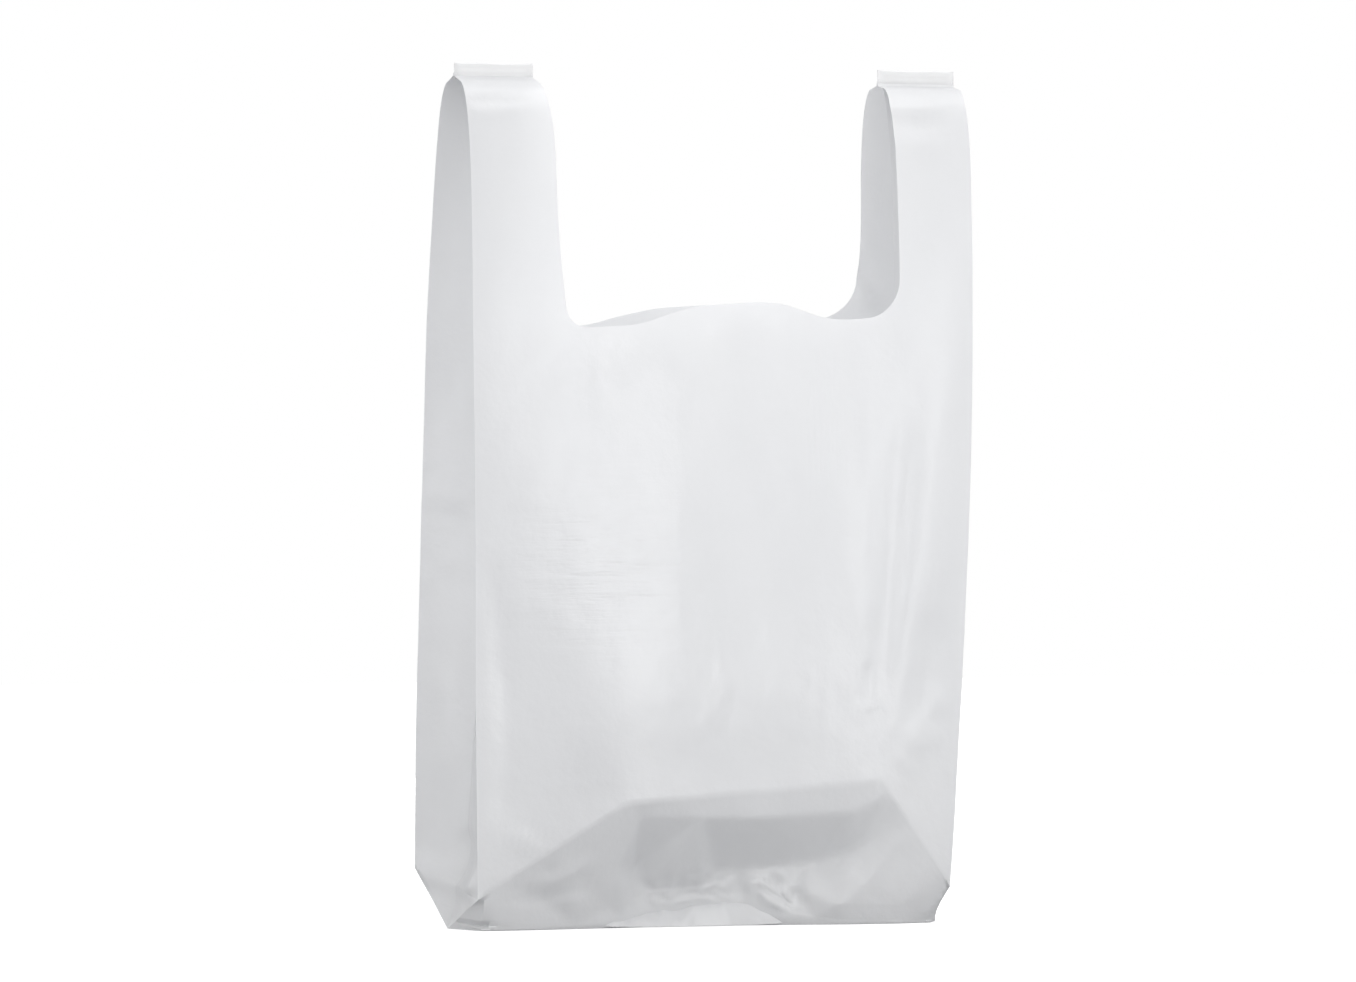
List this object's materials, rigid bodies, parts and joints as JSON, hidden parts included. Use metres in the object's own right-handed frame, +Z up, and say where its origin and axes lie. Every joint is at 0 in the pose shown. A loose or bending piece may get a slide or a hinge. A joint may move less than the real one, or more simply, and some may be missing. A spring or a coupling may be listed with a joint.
{
  "type": "plastic carrier bag",
  "caption": "Carrier bag of thin white film with strap handles, side gussets and a welded base, opened out and standing on its folded underside.",
  "frame": {"origin": "middle of the base, on the floor that the bag stands on", "axes": "+Z up to the handles, +X along the bottom weld from the left handle to the right, the front panel looks towards -Y"},
  "size_m": [0.3044, 0.1126, 0.47],
  "materials": {
    "film": "thin, slightly translucent white polyethylene film with a soft gloss"
  },
  "bodies": {
    "root": {"bag_film": "film"}
  },
  "joints": []
}
